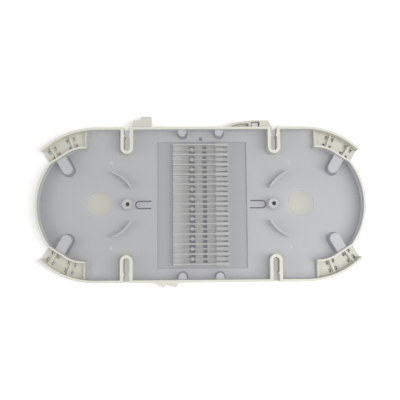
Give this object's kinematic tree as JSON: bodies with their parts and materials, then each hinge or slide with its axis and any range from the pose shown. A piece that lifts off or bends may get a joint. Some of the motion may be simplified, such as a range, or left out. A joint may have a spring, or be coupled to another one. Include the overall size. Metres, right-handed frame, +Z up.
{
  "type": "fibre splice tray",
  "caption": "Stadium-shaped moulded tray that holds fibre splices in a central ribbed holder and coils spare fibre at its rounded ends, under a clear lift-off cover.",
  "frame": {"origin": "on the underside, midway between the two fixing holes", "axes": "+X along the tray's length, +Y towards the side with the lug and the latch, +Z up out of the tray"},
  "size_m": [0.2648, 0.1378, 0.011],
  "materials": {
    "tray_plastic": "satin",
    "holder_plastic": "satin",
    "clear_plastic": "clear, glossy"
  },
  "bodies": {
    "base": {"tray": "tray_plastic", "splice_holder": "holder_plastic"},
    "cover": {"clear_cover": "clear_plastic"}
  },
  "joints": [
    {"name": "cover_lift", "type": "slide", "parent": "base", "child": "cover", "axis": [0, 0, 1], "range_m": [0, 0.04]}
  ]
}
